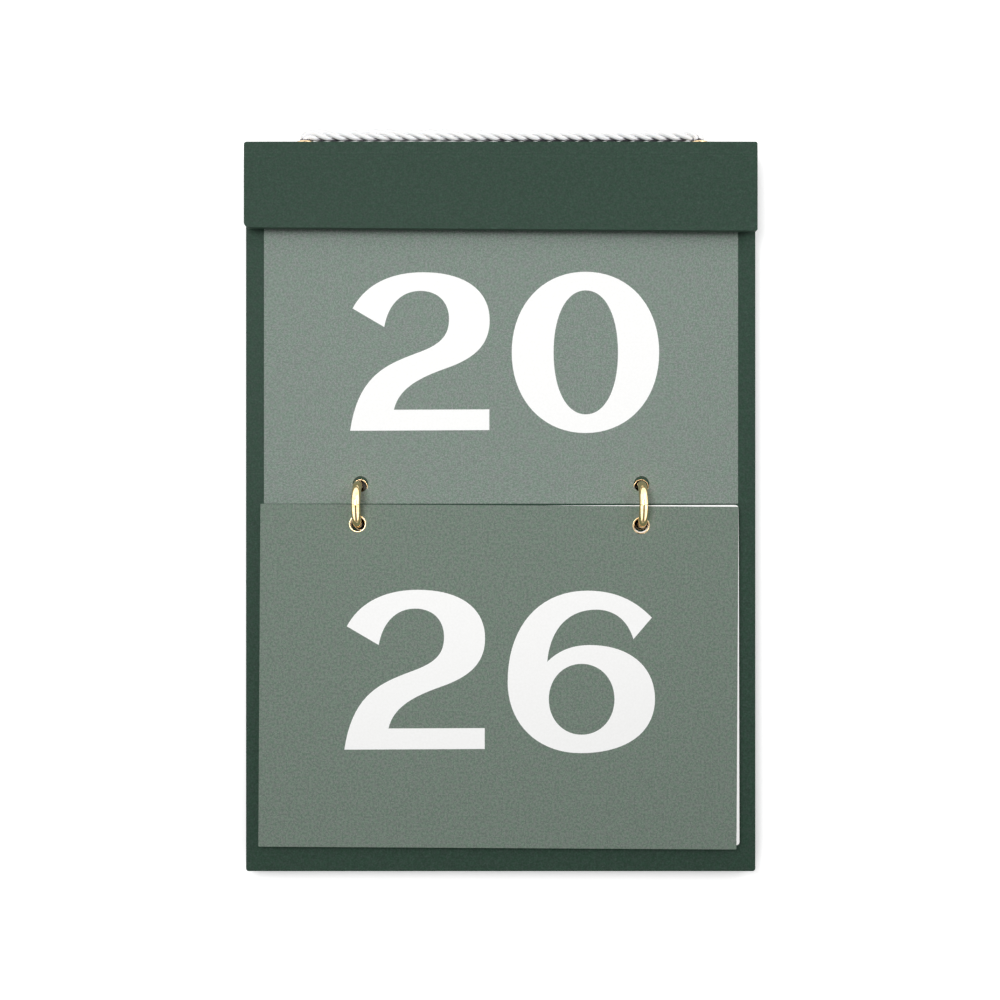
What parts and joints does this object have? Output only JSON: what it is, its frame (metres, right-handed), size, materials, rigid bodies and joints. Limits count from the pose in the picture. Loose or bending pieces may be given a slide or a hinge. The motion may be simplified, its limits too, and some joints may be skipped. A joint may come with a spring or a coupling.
{
  "type": "flip calendar",
  "caption": "Flip calendar in a dark green leatherette case: printed leaves turn on gold binder rings under a hinged top flap, with a white twisted cord handle.",
  "frame": {"origin": "middle of the back face, with the calendar lying on its back", "axes": "+X to the right of the pages, +Y to the calendar's top, +Z out of the pages"},
  "size_m": [0.148, 0.2153, 0.0169],
  "materials": {
    "green_leatherette": "fine-grained satin leatherette",
    "flap_lining": "matt lining cloth",
    "grey_board": "raw grey board",
    "white_paper": "uncoated white",
    "printed_paper": "matt grey-green print",
    "printed_card": "matt grey-green print on light card",
    "gold_metal": "polished gold plating",
    "white_cord": "twisted silky cord"
  },
  "bodies": {
    "case": {"back_sheet": "green_leatherette", "case_cover": "green_leatherette", "back_board": "grey_board", "core_board": "grey_board", "front_board": "grey_board", "board_eyelet_left_upper": "gold_metal", "board_eyelet_left_lower": "gold_metal", "board_eyelet_right_upper": "gold_metal", "board_eyelet_right_lower": "gold_metal", "spine_cover": "green_leatherette", "spine_board": "grey_board", "cord_eyelet_left": "gold_metal", "cord_eyelet_right": "gold_metal", "cord_handle": "white_cord", "cord_bar_left": "gold_metal", "cord_bar_right": "gold_metal", "ring_pin_left": "gold_metal", "ring_pin_right": "gold_metal"},
    "flap": {"flap_cover": "green_leatherette", "flap_board": "grey_board", "flap_lining": "flap_lining"},
    "ring_left_upper": {"ring_left_upper": "gold_metal"},
    "ring_left_lower": {"ring_left_lower": "gold_metal"},
    "ring_right_upper": {"ring_right_upper": "gold_metal"},
    "ring_right_lower": {"ring_right_lower": "gold_metal"},
    "month_leaf_12": {"month_leaf_12": "white_paper"},
    "month_leaf_11": {"month_leaf_11": "white_paper"},
    "month_leaf_10": {"month_leaf_10": "white_paper"},
    "month_leaf_09": {"month_leaf_09": "white_paper"},
    "month_leaf_08": {"month_leaf_08": "white_paper"},
    "month_leaf_07": {"month_leaf_07": "white_paper"},
    "month_leaf_06": {"month_leaf_06": "white_paper"},
    "month_leaf_05": {"month_leaf_05": "white_paper"},
    "month_leaf_04": {"month_leaf_04": "white_paper"},
    "month_leaf_03": {"month_leaf_03": "white_paper"},
    "month_leaf_02": {"month_leaf_02": "white_paper"},
    "month_leaf_01": {"month_leaf_01": "white_paper"},
    "front_card": {"front_card": "printed_card", "card_eyelet_left": "gold_metal", "card_eyelet_right": "gold_metal"},
    "upper_leaf": {"upper_leaf": "printed_paper"}
  },
  "joints": [
    {"name": "flap_hinge", "type": "hinge", "parent": "case", "child": "flap", "pos_m": [0, 0.1045, 0.01442], "axis": [-1, 0, 0], "range_deg": [0, 180]},
    {"name": "ring_left_upper_swing", "type": "hinge", "parent": "case", "child": "ring_left_upper", "pos_m": [-0.0412, 0.0009, 0.00439], "axis": [-1, 0, 0], "range_deg": [0, 3.5]},
    {"name": "ring_left_lower_swing", "type": "hinge", "parent": "case", "child": "ring_left_lower", "pos_m": [-0.0412, 0.0009, 0.00439], "axis": [1, 0, 0], "range_deg": [0, 3.5]},
    {"name": "ring_right_upper_swing", "type": "hinge", "parent": "case", "child": "ring_right_upper", "pos_m": [0.0407, 0.0009, 0.00439], "axis": [-1, 0, 0], "range_deg": [0, 3.5]},
    {"name": "ring_right_lower_swing", "type": "hinge", "parent": "case", "child": "ring_right_lower", "pos_m": [0.0407, 0.0009, 0.00439], "axis": [1, 0, 0], "range_deg": [0, 3.5]},
    {"name": "month_leaf_12_turn", "type": "hinge", "parent": "case", "child": "month_leaf_12", "pos_m": [0, 0.0009, 0.00999], "axis": [-1, 0, 0], "range_deg": [0, 180]},
    {"name": "month_leaf_11_turn", "type": "hinge", "parent": "month_leaf_12", "child": "month_leaf_11", "pos_m": [0, 0.0009, 0.00999], "axis": [-1, 0, 0], "range_deg": [0, 180]},
    {"name": "month_leaf_10_turn", "type": "hinge", "parent": "month_leaf_11", "child": "month_leaf_10", "pos_m": [0, 0.0009, 0.00999], "axis": [-1, 0, 0], "range_deg": [0, 180]},
    {"name": "month_leaf_09_turn", "type": "hinge", "parent": "month_leaf_10", "child": "month_leaf_09", "pos_m": [0, 0.0009, 0.00999], "axis": [-1, 0, 0], "range_deg": [0, 180]},
    {"name": "month_leaf_08_turn", "type": "hinge", "parent": "month_leaf_09", "child": "month_leaf_08", "pos_m": [0, 0.0009, 0.00999], "axis": [-1, 0, 0], "range_deg": [0, 180]},
    {"name": "month_leaf_07_turn", "type": "hinge", "parent": "month_leaf_08", "child": "month_leaf_07", "pos_m": [0, 0.0009, 0.00999], "axis": [-1, 0, 0], "range_deg": [0, 180]},
    {"name": "month_leaf_06_turn", "type": "hinge", "parent": "month_leaf_07", "child": "month_leaf_06", "pos_m": [0, 0.0009, 0.00999], "axis": [-1, 0, 0], "range_deg": [0, 180]},
    {"name": "month_leaf_05_turn", "type": "hinge", "parent": "month_leaf_06", "child": "month_leaf_05", "pos_m": [0, 0.0009, 0.00999], "axis": [-1, 0, 0], "range_deg": [0, 180]},
    {"name": "month_leaf_04_turn", "type": "hinge", "parent": "month_leaf_05", "child": "month_leaf_04", "pos_m": [0, 0.0009, 0.00999], "axis": [-1, 0, 0], "range_deg": [0, 180]},
    {"name": "month_leaf_03_turn", "type": "hinge", "parent": "month_leaf_04", "child": "month_leaf_03", "pos_m": [0, 0.0009, 0.00999], "axis": [-1, 0, 0], "range_deg": [0, 180]},
    {"name": "month_leaf_02_turn", "type": "hinge", "parent": "month_leaf_03", "child": "month_leaf_02", "pos_m": [0, 0.0009, 0.00999], "axis": [-1, 0, 0], "range_deg": [0, 180]},
    {"name": "month_leaf_01_turn", "type": "hinge", "parent": "month_leaf_02", "child": "month_leaf_01", "pos_m": [0, 0.0009, 0.00999], "axis": [-1, 0, 0], "range_deg": [0, 180]},
    {"name": "front_card_turn", "type": "hinge", "parent": "month_leaf_01", "child": "front_card", "pos_m": [0, 0.0009, 0.00999], "axis": [-1, 0, 0], "range_deg": [0, 180]},
    {"name": "upper_leaf_turn", "type": "hinge", "parent": "case", "child": "upper_leaf", "pos_m": [0, 0.0009, 0.00999], "axis": [1, 0, 0], "range_deg": [0, 180]}
  ]
}
